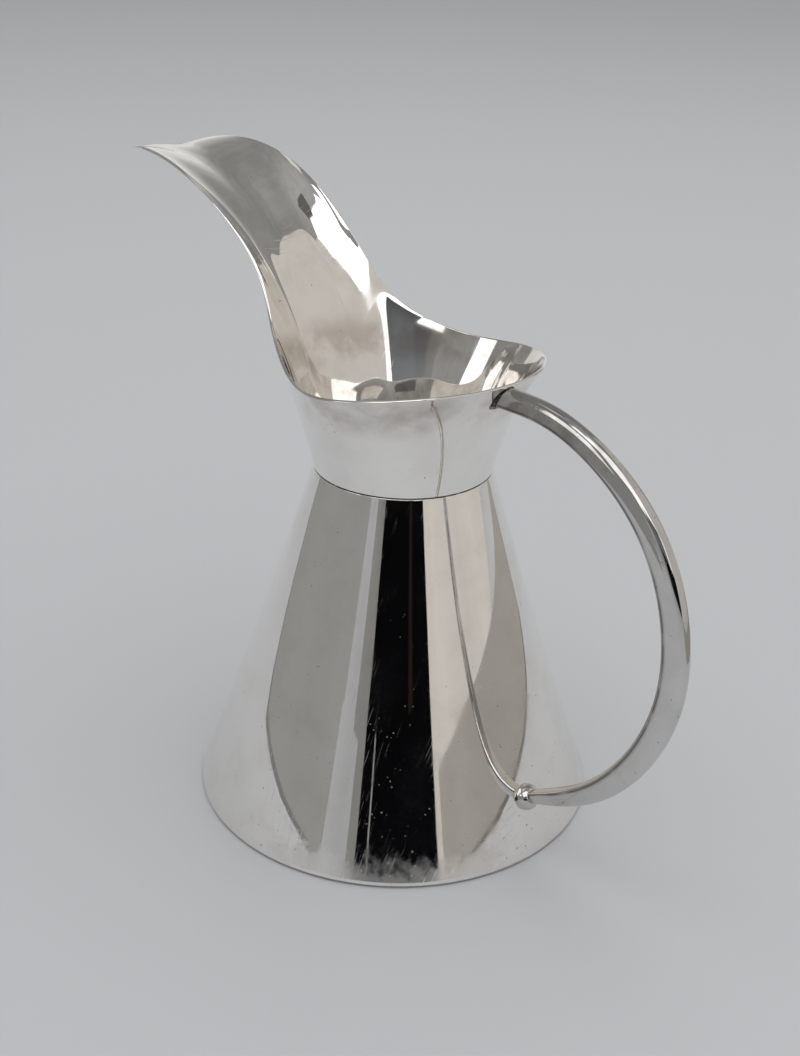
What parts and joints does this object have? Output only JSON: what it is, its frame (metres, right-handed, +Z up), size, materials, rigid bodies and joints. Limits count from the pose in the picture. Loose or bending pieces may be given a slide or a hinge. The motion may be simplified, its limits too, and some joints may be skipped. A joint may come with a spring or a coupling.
{
  "type": "ewer",
  "caption": "Polished silver ewer with a conical body, a flared collar drawn out into a long upswept pouring spout and a bar handle.",
  "frame": {"origin": "centre of the foot ring, on the plane it stands on", "axes": "+Z up along the body's axis, +X toward the handle, so that the spout points along -X"},
  "size_m": [0.2661, 0.14, 0.2104],
  "materials": {
    "polished_silver": "mirror-polished silver sheet with fine wear scratches",
    "handle_silver": "polished drawn silver bar",
    "base_silver": "plain silver sheet, less polished",
    "solder": "tarnished silver solder"
  },
  "bodies": {
    "root": {"body": "polished_silver", "base_plate": "base_silver", "neck_seam": "solder", "collar_spout": "polished_silver", "handle": "handle_silver", "handle_bead": "handle_silver", "handle_solder": "solder"}
  },
  "joints": []
}
